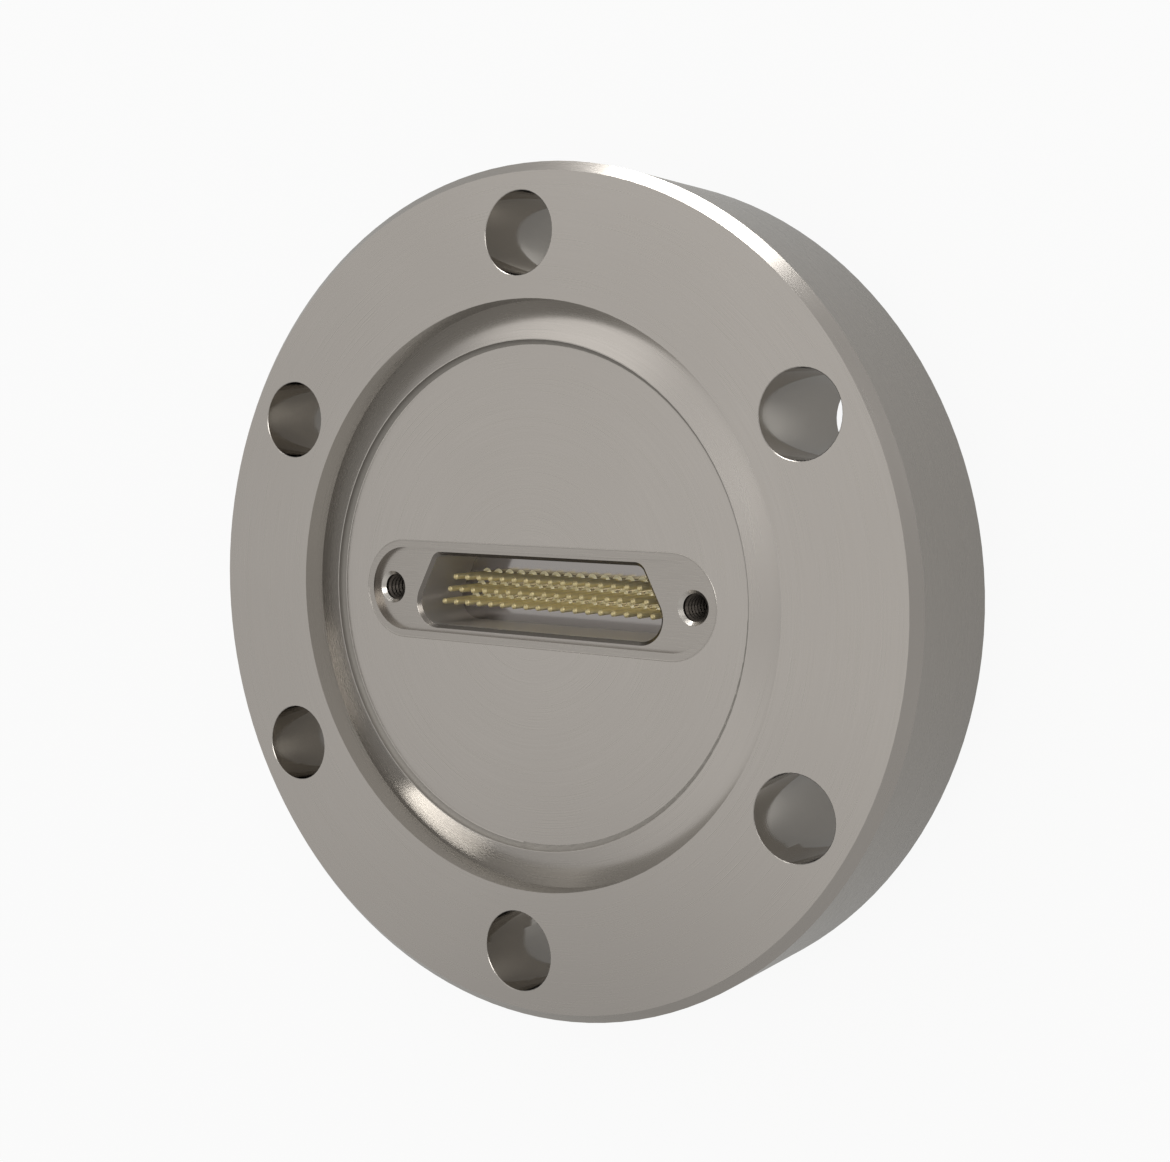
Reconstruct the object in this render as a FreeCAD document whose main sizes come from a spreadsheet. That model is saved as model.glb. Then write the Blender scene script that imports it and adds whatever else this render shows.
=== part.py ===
import FreeCAD, Part
import math
import os
import Sketcher

# Vacuum feedthrough: a knife-edge vacuum flange with a 51-contact micro-miniature D connector in its web.
# It lies on the end of its air-side boss with the knife edge up. The origin is at the middle of that end
# face, +Z points to the vacuum side, and the wide end of the D lies towards -Y. Lengths are millimetres.

DIMENSIONS = [
    ("wide_row_count", 18, "contacts in the row at the wide end of the D"),
    ("row_count", 3, "rows, each one contact shorter"),
    ("contact_pitch", 1.27, "spacing along a row"),
    ("row_spacing", 1.1, "spacing of the rows"),
    ("contact_diameter", 0.5, "pin"),
    ("contact_chamfer", 0.12, "pin ends"),
    ("tip_depth", 1.35, "pin ends below the shell's faces"),
    ("end_margin", 1.355, "last pin of the widest row to the side of the D"),
    ("row_margin", 1.65, "outer rows to the flats of the D"),
    ("cavity_side_angle", 27.5, "lean of the D's sides, degrees"),
    ("cavity_wide_radius", 1.9, "corners of the wide end"),
    ("cavity_narrow_radius", 0.8, "corners of the narrow end"),
    ("cavity_depth", 5.8, "shell face to the floor, both sides"),
    ("cavity_chamfer", 0.3, "edge break of the D openings"),
    ("floor_thickness", 2.4, "wall between the two cavities"),
    ("seal_diameter", 1.0, "glass bead round each contact"),
    ("seal_climb", 0.15, "glass drawn up the contact, both sides"),
    ("shell_wall", 0.65, "beside the flats of the D"),
    ("screw_margin", 3.03, "side of the D to the middle of a jack-screw hole"),
    ("screw_end", 1.87, "middle of a jack-screw hole to the end of the shell's body"),
    ("screw_hole_diameter", 2.2, "tapped hole, over the thread"),
    ("screw_hole_depth", 5.0, "blind, from each face"),
    ("screw_hole_chamfer", 0.3, "edge of the tapped holes"),
    ("head_overhang", 0.55, "head beyond the shell's body, all round"),
    ("head_thickness", 2.0, "height of the shell's head, lip included"),
    ("lip_width", 0.6, "width of the weld lip"),
    ("lip_step", 0.55, "shell face below the top of the lip"),
    ("seat_gap", 0.03, "play of the shell in the flange, each side"),
    ("joint_chamfer", 0.03, "edge breaks along the welded joint"),
    ("web_margin", 3.1, "end of the weld lip to the knife edge"),
    ("knife_depth", 0.93, "crest below the front face"),
    ("knife_height", 0.57, "crest above the web"),
    ("knife_land", 0.08, "flat width of the crest"),
    ("knife_flank_angle", 20, "outer flank, degrees from the face"),
    ("knife_foot_radius", 0.45, "cove between the upright inner side and the web"),
    ("groove_width", 3.2, "knife edge to the bore that centres the gasket"),
    ("bolt_margin", 5.2, "gasket bore to the bolt circle"),
    ("bolt_count", 6, "clearance holes, the first one on +Y"),
    ("bolt_hole_diameter", 6.7, "clearance for the flange bolts"),
    ("bolt_hole_chamfer", 0.05, "edge break of the bolt holes"),
    ("rim_margin", 5.575, "bolt circle to the rim"),
    ("flange_thickness", 12.7, "back face to front face"),
    ("flange_chamfer", 0.8, "outer edges, front and back"),
]

# Widths and lengths as formulas of the sheet, from the contacts outwards to the rim
CONTACT_ROW = "(sizes.wide_row_count - 1) * sizes.contact_pitch + sizes.contact_diameter"
CONTACT_STACK = "(sizes.row_count - 1) * sizes.row_spacing + sizes.contact_diameter"
CAVITY_WIDTH = f"({CONTACT_ROW} + 2 * sizes.end_margin)"
CAVITY_HEIGHT = f"({CONTACT_STACK} + 2 * sizes.row_margin)"
SCREW_SPACING = f"({CAVITY_WIDTH} + 2 * sizes.screw_margin)"
BODY_LENGTH = f"({SCREW_SPACING} + 2 * sizes.screw_end)"
BODY_HEIGHT = f"({CAVITY_HEIGHT} + 2 * sizes.shell_wall)"
HEAD_LENGTH = f"({BODY_LENGTH} + 2 * sizes.head_overhang)"
HEAD_HEIGHT = f"({BODY_HEIGHT} + 2 * sizes.head_overhang)"
KNIFE_DIAMETER = f"({HEAD_LENGTH} + 2 * sizes.web_margin)"
GASKET_DIAMETER = f"({KNIFE_DIAMETER} + 2 * sizes.groove_width)"
BOLT_CIRCLE = f"({GASKET_DIAMETER} + 2 * sizes.bolt_margin)"
FLANGE_DIAMETER = f"({BOLT_CIRCLE} + 2 * sizes.rim_margin)"

# Heights above the origin, and the web's depth below the front face, as formulas of the sheet
SHELL_FACE = "(2 * sizes.cavity_depth + sizes.floor_thickness)"
LIP_TOP = f"({SHELL_FACE} + sizes.lip_step)"
HEAD_BOTTOM = f"({LIP_TOP} - sizes.head_thickness)"
WEB_DEPTH = "(sizes.knife_depth + sizes.knife_height)"
FLANGE_BACK = f"({LIP_TOP} + {WEB_DEPTH} - sizes.flange_thickness)"

doc = FreeCAD.newDocument("vacuum_feedthrough")
sizes = doc.addObject("Spreadsheet::Sheet", "sizes")


def fill_sheet():
    for row, (name, number, note) in enumerate(DIMENSIONS, start=1):
        sizes.set(f"A{row}", name)
        sizes.set(f"B{row}", str(number))
        sizes.set(f"C{row}", note)
        sizes.setAlias(f"B{row}", name)
    doc.recompute()


def value(formula):
    return float(sizes.evalExpression(formula))


def new_body(label, height=None):
    """A body of its own label, raised by a formula of the sheet where one is given."""
    body = doc.addObject("PartDesign::Body", label)
    body.Label = label
    if height is not None:
        body.setExpression("Placement.Base.z", height)
    return body


# Sketches

def new_sketch(body, name, height=None, plane="XY_Plane"):
    """A sketch on one of the body's origin planes, raised by a formula where one is given."""
    sketch = body.newObject("Sketcher::SketchObject", name)
    origin_plane = next(item for item in body.Origin.OriginFeatures if item.Role == plane)
    sketch.AttachmentSupport = [(origin_plane, "")]
    sketch.MapMode = "FlatFace"
    if height is not None:
        sketch.setExpression("AttachmentOffset.Base.z", height)
    return sketch


def point(x, y):
    return FreeCAD.Vector(x, y, 0)


def draw_line(sketch, start, end):
    return sketch.addGeometry(Part.LineSegment(point(*start), point(*end)), False)


def draw_arc(sketch, centre, radius, first, last):
    """An arc between two directions in degrees, drawn anticlockwise."""
    circle = Part.Circle(point(*centre), FreeCAD.Vector(0, 0, 1), radius)
    return sketch.addGeometry(Part.ArcOfCircle(circle, math.radians(first), math.radians(last)), False)


def draw_circle(sketch, centre, radius):
    return sketch.addGeometry(Part.Circle(point(*centre), FreeCAD.Vector(0, 0, 1), radius), False)


def constrain(sketch, kind, *places):
    return sketch.addConstraint(Sketcher.Constraint(kind, *places))


def dimension(sketch, kind, *places, formula):
    """A driving dimension that follows a formula of the sheet."""
    number = value(formula)
    if kind == "Angle":
        number = math.radians(number)
        formula = f"({formula}) * 1 deg"
    index = sketch.addConstraint(Sketcher.Constraint(kind, *places, number))
    sketch.setExpression(f"Constraints[{index}]", formula)


# Ends of a piece of sketch geometry, and the sketch's own origin
START, END, CENTRE = 1, 2, 3
ORIGIN = (-1, 1)


def close_outline(sketch, pieces, kind="Coincident"):
    """Joins each piece's end to the start of the next one, all the way round."""
    for piece, following in zip(pieces, pieces[1:] + pieces[:1]):
        constrain(sketch, kind, piece, END, following, START)


def draw_oblong(sketch, length, height):
    """A slot shape with full-round ends, centred on the origin."""
    radius = value(height) / 2
    middle = value(length) / 2 - radius
    bottom = draw_line(sketch, (-middle, -radius), (middle, -radius))
    right = draw_arc(sketch, (middle, 0), radius, -90, 90)
    top = draw_line(sketch, (middle, radius), (-middle, radius))
    left = draw_arc(sketch, (-middle, 0), radius, 90, 270)
    close_outline(sketch, [bottom, right, top, left], "Tangent")
    constrain(sketch, "Horizontal", bottom)
    constrain(sketch, "Symmetric", left, CENTRE, right, CENTRE, *ORIGIN)
    dimension(sketch, "Radius", right, formula=f"({height}) / 2")
    dimension(sketch, "DistanceX", left, CENTRE, right, CENTRE, formula=f"{length} - ({height})")


def draw_cavity(sketch):
    """The D: a flat wide end towards -Y, leaning sides, and a narrower flat end towards +Y."""
    half_height = value(CAVITY_HEIGHT) / 2
    wide = value("sizes.cavity_wide_radius")
    narrow = value("sizes.cavity_narrow_radius")
    lean = value("sizes.cavity_side_angle")
    wide_x = value(CAVITY_WIDTH) / 2 - wide
    wide_y = -half_height + wide
    narrow_y = half_height - narrow
    # the side touches both corner circles, so the narrow centre follows from the lean
    run = (wide - narrow - (narrow_y - wide_y) * math.sin(math.radians(lean))) / math.cos(math.radians(lean))
    narrow_x = wide_x + run
    side_x, side_y = math.cos(math.radians(lean)), math.sin(math.radians(lean))

    bottom = draw_line(sketch, (-wide_x, -half_height), (wide_x, -half_height))
    wide_right = draw_arc(sketch, (wide_x, wide_y), wide, -90, lean)
    side_right = draw_line(
        sketch,
        (wide_x + wide * side_x, wide_y + wide * side_y),
        (narrow_x + narrow * side_x, narrow_y + narrow * side_y),
    )
    narrow_right = draw_arc(sketch, (narrow_x, narrow_y), narrow, lean, 90)
    top = draw_line(sketch, (narrow_x, half_height), (-narrow_x, half_height))
    narrow_left = draw_arc(sketch, (-narrow_x, narrow_y), narrow, 90, 180 - lean)
    side_left = draw_line(
        sketch,
        (-narrow_x - narrow * side_x, narrow_y + narrow * side_y),
        (-wide_x - wide * side_x, wide_y + wide * side_y),
    )
    wide_left = draw_arc(sketch, (-wide_x, wide_y), wide, 180 - lean, 270)
    outline = [bottom, wide_right, side_right, narrow_right, top, narrow_left, side_left, wide_left]
    close_outline(sketch, outline, "Tangent")
    constrain(sketch, "Symmetric", wide_left, CENTRE, wide_right, CENTRE, -2)
    constrain(sketch, "Symmetric", narrow_left, CENTRE, narrow_right, CENTRE, -2)
    constrain(sketch, "Equal", wide_left, wide_right)
    constrain(sketch, "Equal", narrow_left, narrow_right)
    dimension(sketch, "Radius", wide_right, formula="sizes.cavity_wide_radius")
    dimension(sketch, "Radius", narrow_right, formula="sizes.cavity_narrow_radius")
    dimension(sketch, "DistanceY", bottom, START, *ORIGIN, formula=f"{CAVITY_HEIGHT} / 2")
    dimension(sketch, "DistanceY", *ORIGIN, top, START, formula=f"{CAVITY_HEIGHT} / 2")
    dimension(
        sketch, "DistanceX", wide_left, CENTRE, wide_right, CENTRE,
        formula=f"{CAVITY_WIDTH} - 2 * sizes.cavity_wide_radius",
    )
    dimension(sketch, "Angle", side_right, formula="90 + sizes.cavity_side_angle")


# Features

def pad(body, sketch, length):
    feature = body.newObject("PartDesign::Pad", f"{sketch.Name}_pad")
    feature.Profile = sketch
    feature.setExpression("Length", length)
    doc.recompute()
    return feature


def pocket(body, sketch, depth=None, upward=False):
    """Cuts down from the sketch, or up; all the way where no depth is given."""
    before = body.Shape.Volume
    feature = body.newObject("PartDesign::Pocket", f"{sketch.Name}_pocket")
    feature.Profile = sketch
    feature.Reversed = upward
    if depth is None:
        feature.Type = "ThroughAll"
    else:
        feature.setExpression("Length", depth)
    doc.recompute()
    if body.Shape.Volume >= before:
        raise RuntimeError(f"{feature.Name} cuts nothing")
    return feature


def chamfer(body, base, width, chosen):
    """Breaks the edges that the test picks."""
    edges = [f"Edge{number}" for number, edge in enumerate(base.Shape.Edges, start=1) if chosen(edge)]
    feature = body.newObject("PartDesign::Chamfer", f"{base.Name}_chamfer")
    feature.Base = (base, edges)
    feature.setExpression("Size", width)
    doc.recompute()
    return feature


def near(first, second):
    return abs(first - second) < 1e-4


def at_height(edge, height):
    return all(near(vertex.Z, height) for vertex in edge.Vertexes)


def is_circle(edge, radius):
    """Whether the edge is a full circle of this radius."""
    return edge.isClosed() and edge.Curve.TypeId == "Part::GeomCircle" and near(edge.Curve.Radius, radius)


def reaches(edge, x, y):
    """Whether the edge stays inside a rectangle of these half sizes."""
    box = edge.BoundBox
    return max(-box.XMin, box.XMax) <= x + 1e-4 and max(-box.YMin, box.YMax) <= y + 1e-4


# Flange

def draw_flange_section(sketch):
    """Half the turned section, from the axis outwards: x is the radius and y the height."""
    outer = value(FLANGE_DIAMETER) / 2
    front = value("sizes.flange_thickness")
    bore = value(GASKET_DIAMETER) / 2
    crest_in = value(KNIFE_DIAMETER) / 2
    crest_out = crest_in + value("sizes.knife_land")
    crest = front - value("sizes.knife_depth")
    web = front - value(WEB_DEPTH)
    foot = crest - (bore - crest_out) * math.tan(math.radians(value("sizes.knife_flank_angle")))

    corners = [
        (0, 0), (outer, 0), (outer, front), (bore, front), (bore, foot),
        (crest_out, crest), (crest_in, crest), (crest_in, web), (0, web),
    ]
    lines = [draw_line(sketch, a, b) for a, b in zip(corners, corners[1:] + corners[:1])]
    back, rim, face, wall, flank, land, inner_side, web_face, axis = lines
    close_outline(sketch, lines)
    constrain(sketch, "Coincident", back, START, *ORIGIN)
    for level in (back, face, land, web_face):
        constrain(sketch, "Horizontal", level)
    for upright in (rim, wall, inner_side, axis):
        constrain(sketch, "Vertical", upright)
    dimension(sketch, "DistanceX", *ORIGIN, rim, START, formula=f"{FLANGE_DIAMETER} / 2")
    dimension(sketch, "DistanceY", rim, START, rim, END, formula="sizes.flange_thickness")
    dimension(sketch, "DistanceX", *ORIGIN, wall, START, formula=f"{GASKET_DIAMETER} / 2")
    dimension(sketch, "DistanceX", *ORIGIN, land, END, formula=f"{KNIFE_DIAMETER} / 2")
    dimension(sketch, "DistanceX", land, END, land, START, formula="sizes.knife_land")
    dimension(sketch, "DistanceY", land, START, face, START, formula="sizes.knife_depth")
    dimension(sketch, "DistanceY", web_face, START, face, START, formula=WEB_DEPTH)
    dimension(sketch, "Angle", flank, formula="180 - sizes.knife_flank_angle")


def make_flange():
    body = new_body("flange", FLANGE_BACK)
    section = new_sketch(body, "flange_section", plane="XZ_Plane")
    draw_flange_section(section)
    turned = body.newObject("PartDesign::Revolution", "flange_turned")
    turned.Profile = section
    turned.ReferenceAxis = (section, ["V_Axis"])
    doc.recompute()

    web = value(f"sizes.flange_thickness - {WEB_DEPTH}")
    outer = value(FLANGE_DIAMETER) / 2
    broken = chamfer(body, turned, "sizes.flange_chamfer", lambda edge: is_circle(edge, outer))
    foot = [
        f"Edge{number}" for number, edge in enumerate(broken.Shape.Edges, start=1)
        if edge.Curve.TypeId == "Part::GeomCircle" and at_height(edge, web)
    ]
    rounded = body.newObject("PartDesign::Fillet", "knife_foot")
    rounded.Base = (broken, foot)
    rounded.setExpression("Radius", "sizes.knife_foot_radius")

    bolt_hole = new_sketch(body, "bolt_hole")
    hole_radius = value("sizes.bolt_hole_diameter / 2")
    circle = draw_circle(bolt_hole, (0, value(BOLT_CIRCLE) / 2), hole_radius)
    constrain(bolt_hole, "PointOnObject", circle, CENTRE, -2)
    dimension(bolt_hole, "DistanceY", *ORIGIN, circle, CENTRE, formula=f"{BOLT_CIRCLE} / 2")
    dimension(bolt_hole, "Diameter", circle, formula="sizes.bolt_hole_diameter")
    drilled = pocket(body, bolt_hole, upward=True)
    circle_of_holes = body.newObject("PartDesign::PolarPattern", "bolt_holes")
    circle_of_holes.Originals = [drilled]
    circle_of_holes.Axis = (bolt_hole, ["N_Axis"])
    circle_of_holes.Angle = 360
    circle_of_holes.setExpression("Occurrences", "sizes.bolt_count")
    body.Tip = circle_of_holes
    doc.recompute()

    deburred = chamfer(
        body, circle_of_holes, "sizes.bolt_hole_chamfer", lambda edge: is_circle(edge, hole_radius)
    )
    body.Tip = deburred

    passage = new_sketch(body, "shell_passage")
    draw_oblong(passage, f"{BODY_LENGTH} + 2 * sizes.seat_gap", f"{BODY_HEIGHT} + 2 * sizes.seat_gap")
    pocket(body, passage, upward=True)
    seat = new_sketch(body, "shell_seat", f"sizes.flange_thickness - {WEB_DEPTH}")
    draw_oblong(seat, f"{HEAD_LENGTH} + 2 * sizes.seat_gap", f"{HEAD_HEIGHT} + 2 * sizes.seat_gap")
    sunk = pocket(body, seat, "sizes.head_thickness")
    half_length = value(f"{HEAD_LENGTH} / 2 + sizes.seat_gap")
    half_height = value(f"{HEAD_HEIGHT} / 2 + sizes.seat_gap")
    chamfer(
        body, sunk, "sizes.joint_chamfer",
        lambda edge: at_height(edge, web) and reaches(edge, half_length, half_height),
    )
    return body


# Rows of contacts

def row_y(row):
    """Formula of a row's place: the widest row lies nearest the wide end of the D."""
    return f"({row} - (sizes.row_count - 1) / 2) * sizes.row_spacing"


def row_start(row):
    """Formula of the first contact's place in a row, which is one contact shorter than the last."""
    return f"-(sizes.wide_row_count - {row} - 1) / 2 * sizes.contact_pitch"


def repeat_along_row(body, feature, sketch, row):
    """Repeats a feature at the pitch of the contacts, once for each contact of the row."""
    pattern = body.newObject("PartDesign::LinearPattern", f"{feature.Name}_repeated")
    pattern.Originals = [feature]
    pattern.Direction = (sketch, ["H_Axis"])
    pattern.setExpression("Length", f"(sizes.wide_row_count - {row} - 1) * sizes.contact_pitch")
    pattern.setExpression("Occurrences", f"sizes.wide_row_count - {row}")
    body.Tip = pattern
    doc.recompute()
    return pattern


# Connector shell

def bore_seal_row(body, row):
    """The bores of one row of seals, through the floor between the two cavities."""
    bore = new_sketch(body, f"seal_bore_{row + 1}", "sizes.cavity_depth")
    place = (value(row_start(row)), value(row_y(row)))
    circle = draw_circle(bore, place, value("sizes.seal_diameter / 2"))
    dimension(bore, "DistanceX", *ORIGIN, circle, CENTRE, formula=row_start(row))
    dimension(bore, "DistanceY", *ORIGIN, circle, CENTRE, formula=row_y(row))
    dimension(bore, "Diameter", circle, formula="sizes.seal_diameter")
    first = pocket(body, bore, "sizes.floor_thickness", upward=True)
    repeat_along_row(body, first, bore, row)


def draw_screw_holes(sketch):
    reach = value(SCREW_SPACING) / 2
    left, right = (draw_circle(sketch, (x, 0), value("sizes.screw_hole_diameter / 2")) for x in (-reach, reach))
    constrain(sketch, "Equal", left, right)
    constrain(sketch, "Symmetric", left, CENTRE, right, CENTRE, *ORIGIN)
    constrain(sketch, "PointOnObject", right, CENTRE, -1)
    dimension(sketch, "DistanceX", left, CENTRE, right, CENTRE, formula=SCREW_SPACING)
    dimension(sketch, "Diameter", right, formula="sizes.screw_hole_diameter")


def make_connector_shell():
    body = new_body("connector_shell")
    boss = new_sketch(body, "shell_boss")
    draw_oblong(boss, BODY_LENGTH, BODY_HEIGHT)
    pad(body, boss, HEAD_BOTTOM)
    head = new_sketch(body, "shell_head", HEAD_BOTTOM)
    draw_oblong(head, HEAD_LENGTH, HEAD_HEIGHT)
    pad(body, head, "sizes.head_thickness")
    face = new_sketch(body, "shell_face", LIP_TOP)
    draw_oblong(face, f"{HEAD_LENGTH} - 2 * sizes.lip_width", f"{HEAD_HEIGHT} - 2 * sizes.lip_width")
    pocket(body, face, "sizes.lip_step")
    upper_cavity = new_sketch(body, "upper_cavity", SHELL_FACE)
    draw_cavity(upper_cavity)
    pocket(body, upper_cavity, "sizes.cavity_depth")
    lower_cavity = new_sketch(body, "lower_cavity")
    draw_cavity(lower_cavity)
    pocket(body, lower_cavity, "sizes.cavity_depth", upward=True)
    for row in range(int(value("sizes.row_count"))):
        bore_seal_row(body, row)
    lower_screws = new_sketch(body, "lower_screw_holes")
    draw_screw_holes(lower_screws)
    pocket(body, lower_screws, "sizes.screw_hole_depth", upward=True)
    upper_screws = new_sketch(body, "upper_screw_holes", SHELL_FACE)
    draw_screw_holes(upper_screws)
    drilled = pocket(body, upper_screws, "sizes.screw_hole_depth")

    mouths = (0, value(SHELL_FACE))
    screw_radius = value("sizes.screw_hole_diameter / 2")
    cavity_x = value(CAVITY_WIDTH) / 2
    cavity_y = value(CAVITY_HEIGHT) / 2
    eased = chamfer(
        body, drilled, "sizes.cavity_chamfer",
        lambda edge: any(at_height(edge, mouth) for mouth in mouths) and reaches(edge, cavity_x, cavity_y),
    )
    countersunk = chamfer(
        body, eased, "sizes.screw_hole_chamfer",
        lambda edge: is_circle(edge, screw_radius) and any(at_height(edge, mouth) for mouth in mouths),
    )
    lip_x = value(f"{HEAD_LENGTH} / 2 - sizes.lip_width")
    lip_y = value(f"{HEAD_HEIGHT} / 2 - sizes.lip_width")
    lip_top = value(LIP_TOP)
    chamfer(
        body, countersunk, "sizes.joint_chamfer",
        lambda edge: at_height(edge, lip_top) and not reaches(edge, lip_x, lip_y),
    )
    return body


# Seals and contacts

def make_seal_row(row):
    """One row of glass beads, each fused between its contact and the floor, in one body of separate solids."""
    body = new_body(f"seals_row_{row + 1}", "sizes.cavity_depth")
    body.AllowCompound = True
    body.setExpression("Placement.Base.x", row_start(row))
    body.setExpression("Placement.Base.y", row_y(row))
    section = new_sketch(body, f"seal_section_{row + 1}", plane="XZ_Plane")
    inner = value("sizes.contact_diameter / 2")
    outer = value("sizes.seal_diameter / 2")
    floor = value("sizes.floor_thickness")
    climb = value("sizes.seal_climb")
    corners = [(inner, -climb), (outer, 0), (outer, floor), (inner, floor + climb)]
    lines = [draw_line(section, a, b) for a, b in zip(corners, corners[1:] + corners[:1])]
    lower, wall, upper, bore = lines
    close_outline(section, lines)
    constrain(section, "Vertical", wall)
    constrain(section, "Vertical", bore)
    dimension(section, "DistanceX", *ORIGIN, bore, START, formula="sizes.contact_diameter / 2")
    dimension(section, "DistanceX", *ORIGIN, wall, START, formula="sizes.seal_diameter / 2")
    dimension(section, "DistanceY", *ORIGIN, wall, END, formula="sizes.floor_thickness")
    dimension(section, "DistanceY", wall, START, wall, END, formula="sizes.floor_thickness")
    dimension(section, "DistanceY", lower, START, lower, END, formula="sizes.seal_climb")
    dimension(section, "DistanceY", upper, START, upper, END, formula="sizes.seal_climb")
    bead = body.newObject("PartDesign::Revolution", f"seal_{row + 1}")
    bead.Profile = section
    bead.ReferenceAxis = (section, ["V_Axis"])
    doc.recompute()
    repeat_along_row(body, bead, section, row)
    return body


def make_contact(number, row, column):
    body = new_body(f"contact_{number:02d}", "sizes.tip_depth")
    body.setExpression("Placement.Base.x", f"{row_start(row)} + {column} * sizes.contact_pitch")
    body.setExpression("Placement.Base.y", row_y(row))
    pin = body.newObject("PartDesign::AdditiveCylinder", f"pin_{number:02d}")
    pin.setExpression("Radius", "sizes.contact_diameter / 2")
    pin.setExpression("Height", f"{SHELL_FACE} - 2 * sizes.tip_depth")
    doc.recompute()
    chamfer(body, pin, "sizes.contact_chamfer", lambda edge: edge.Curve.TypeId == "Part::GeomCircle")
    return body


def make_contacts():
    contacts = []
    for row in range(int(value("sizes.row_count"))):
        for column in range(int(value("sizes.wide_row_count")) - row):
            contacts.append(make_contact(len(contacts) + 1, row, column))
    return contacts


def check_objects():
    for item in doc.Objects:
        if "Invalid" in item.State or "Error" in item.State:
            raise RuntimeError(f"{item.Name} failed: {item.State}")


def write_part(body, solids=1):
    """Writes a body of this many separate solids."""
    shape = body.Shape
    if shape.isNull() or not shape.isValid():
        raise RuntimeError(f"{body.Label} has no valid shape")
    if len(shape.Solids) != solids:
        raise RuntimeError(f"{body.Label} is {len(shape.Solids)} solids, not {solids}")
    shape.exportStep(os.path.join("parts", f"{body.Label}.step"))
    print(f"{body.Label}: {shape.Volume:.2f} mm3, box {shape.BoundBox}")


fill_sheet()
rows = range(int(value("sizes.row_count")))
single_pieces = [make_flange(), make_connector_shell(), *make_contacts()]
seal_rows = [make_seal_row(row) for row in rows]
doc.recompute()
check_objects()
os.makedirs("parts", exist_ok=True)
for piece in single_pieces:
    write_part(piece)
for row in rows:
    write_part(seal_rows[row], int(value("sizes.wide_row_count")) - row)
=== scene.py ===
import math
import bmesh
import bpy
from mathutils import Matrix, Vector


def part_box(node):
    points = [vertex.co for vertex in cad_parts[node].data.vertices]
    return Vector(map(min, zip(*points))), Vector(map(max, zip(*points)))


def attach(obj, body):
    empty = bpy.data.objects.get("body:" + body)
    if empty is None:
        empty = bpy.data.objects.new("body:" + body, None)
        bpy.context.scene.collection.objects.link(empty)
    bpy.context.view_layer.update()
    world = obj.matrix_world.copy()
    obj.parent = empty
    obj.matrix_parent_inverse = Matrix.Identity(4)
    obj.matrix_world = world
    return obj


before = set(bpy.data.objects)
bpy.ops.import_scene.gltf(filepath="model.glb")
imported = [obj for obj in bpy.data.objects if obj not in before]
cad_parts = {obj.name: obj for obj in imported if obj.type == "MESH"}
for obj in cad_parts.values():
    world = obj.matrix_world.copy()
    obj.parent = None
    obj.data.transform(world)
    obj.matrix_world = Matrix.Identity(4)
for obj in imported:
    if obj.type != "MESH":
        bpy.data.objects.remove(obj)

# %% [markdown]
# # A vacuum feedthrough on a pale table
# The object is a round stainless flange that closes a port of a vacuum chamber. An oblong metal insert is
# welded into its middle, and 51 gold-plated contacts pass through that insert, each in a small bead of
# glass. The metal itself comes from the CAD model. This lesson dresses it: finishes for each metal and
# for the glass, the fine threads of the jack-screw holes, a table, the light and the camera.

MM = 0.001
bpy.context.scene.view_settings.view_transform = "Standard"
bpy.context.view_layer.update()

# %% [markdown]
# ## Camera
# The flange lies on the table with its sealing side up, and the photograph shows it as if it stood on its
# edge. So the camera hangs above and to the right of it, and the top of the picture points along +Y. The
# place and the lens come from the six bolt holes, whose circle is known. An up direction of +Y leaves
# only a small roll to add, which is easier to read than three angles.

# %% Camera
CAMERA_PLACE = Vector((78.75, 12.20, 117.73)) * MM
CAMERA_TARGET = Vector((6.69, 1.77, 16.05)) * MM
CAMERA_ROLL = math.radians(0.19)
LENS_MM = 48.8
SENSOR_MM = 36


def place_camera():
    sight = (CAMERA_TARGET - CAMERA_PLACE).normalized()
    right = sight.cross(Vector((0, 1, 0))).normalized()
    up = right.cross(sight)
    turned = Matrix((right, up, -sight)).transposed()
    lens = bpy.data.cameras.new("camera")
    lens.lens = LENS_MM
    lens.sensor_width = SENSOR_MM
    camera = bpy.data.objects.new("camera", lens)
    roll = Matrix.Rotation(-CAMERA_ROLL, 4, sight)
    camera.matrix_world = Matrix.Translation(CAMERA_PLACE) @ roll @ turned.to_4x4()
    bpy.context.collection.objects.link(camera)
    bpy.context.scene.camera = camera


place_camera()
print("the camera is", round((CAMERA_PLACE - CAMERA_TARGET).length / MM, 1), "mm from the flange")

# %% [markdown]
# ## Helpers for finishes
# Colours are picked from paint charts and photographs as sRGB hex values, and shaders calculate with
# linear light, so one function turns the first into the second. A second one adds a node: what belongs to
# the node is given by name, and what goes into its sockets is given in a dictionary, either as a value or
# as another node's output. A Mix node has sockets for every kind of data, one after the other: numbers
# use inputs 0, 2 and 3 and output 0, and colours use inputs 0, 6 and 7 and output 2. Two more start an
# empty finish and put a finished one on pieces of the CAD model.

# %% Helpers for finishes
def tone(hex_colour):
    """The linear colour of an sRGB hex value."""
    channels = [int(hex_colour[place:place + 2], 16) / 255 for place in (1, 3, 5)]
    linear = [c / 12.92 if c <= 0.04045 else ((c + 0.055) / 1.055) ** 2.4 for c in channels]
    return (*linear, 1.0)


def add_node(tree, kind, inputs=None, **settings):
    """Adds a node, with its settings by name and its sockets from a dictionary."""
    node = tree.nodes.new(kind)
    for name, setting in settings.items():
        setattr(node, name, setting)
    for socket, source in (inputs or {}).items():
        if isinstance(source, bpy.types.NodeSocket):
            tree.links.new(source, node.inputs[socket])
        else:
            node.inputs[socket].default_value = source
    return node


def new_finish(name):
    """An empty material with its output, ready for a shader."""
    finish = bpy.data.materials.new(name)
    finish.use_nodes = True
    finish.node_tree.nodes.clear()
    output = finish.node_tree.nodes.new("ShaderNodeOutputMaterial")
    return finish, finish.node_tree, output


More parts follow.
